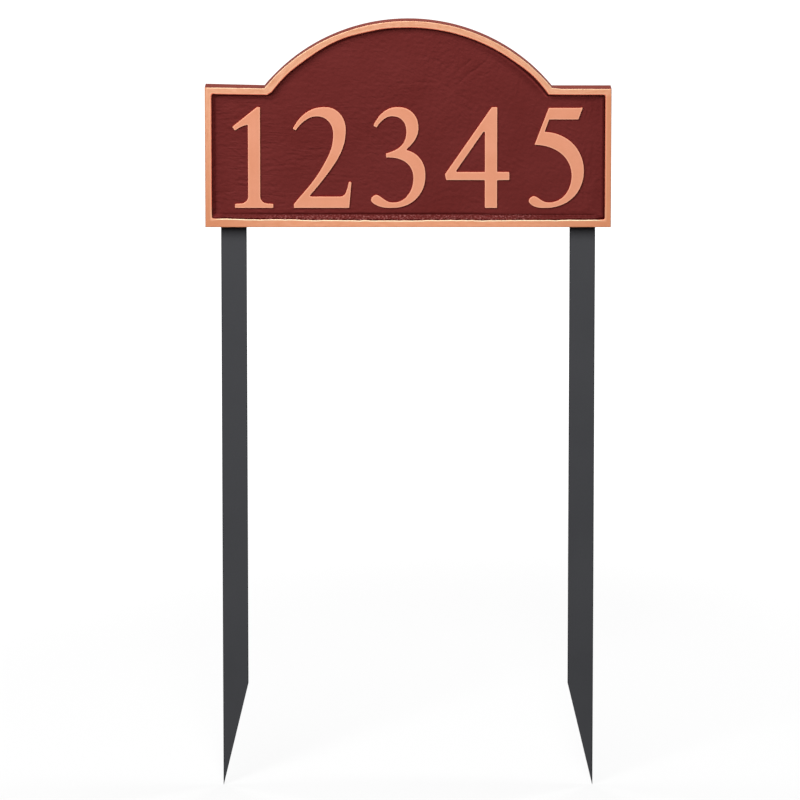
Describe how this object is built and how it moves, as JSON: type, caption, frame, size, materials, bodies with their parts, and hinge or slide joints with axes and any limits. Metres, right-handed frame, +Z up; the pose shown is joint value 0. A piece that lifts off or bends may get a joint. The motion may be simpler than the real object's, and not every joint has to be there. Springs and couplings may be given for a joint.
{
  "type": "lawn address sign",
  "caption": "Address sign for a lawn: an arched cast plaque with a raised border and house numerals, on angle stakes that push into the ground.",
  "frame": {"origin": "midway between the points of the stakes, on the plane where the stakes lie against the plaque's bosses", "axes": "+X to the reader's right, +Y to the back of the sign, +Z up along the stakes"},
  "size_m": [0.4006, 0.0421, 0.8008],
  "materials": {
    "burgundy_enamel": "satin",
    "copper_paint": "satin",
    "grey_powder_coat": "satin",
    "bright_steel": "satin"
  },
  "bodies": {
    "root": {"plaque": "burgundy_enamel", "numeral_1": "copper_paint", "numeral_2": "copper_paint", "numeral_3": "copper_paint", "numeral_4": "copper_paint", "numeral_5": "copper_paint", "stake_left": "grey_powder_coat", "stake_right": "grey_powder_coat", "stake_screw_left_lower": "bright_steel", "stake_screw_left_upper": "bright_steel", "stake_screw_right_lower": "bright_steel", "stake_screw_right_upper": "bright_steel", "lock_washer_left_lower": "bright_steel", "lock_washer_left_upper": "bright_steel", "lock_washer_right_lower": "bright_steel", "lock_washer_right_upper": "bright_steel"}
  },
  "joints": []
}
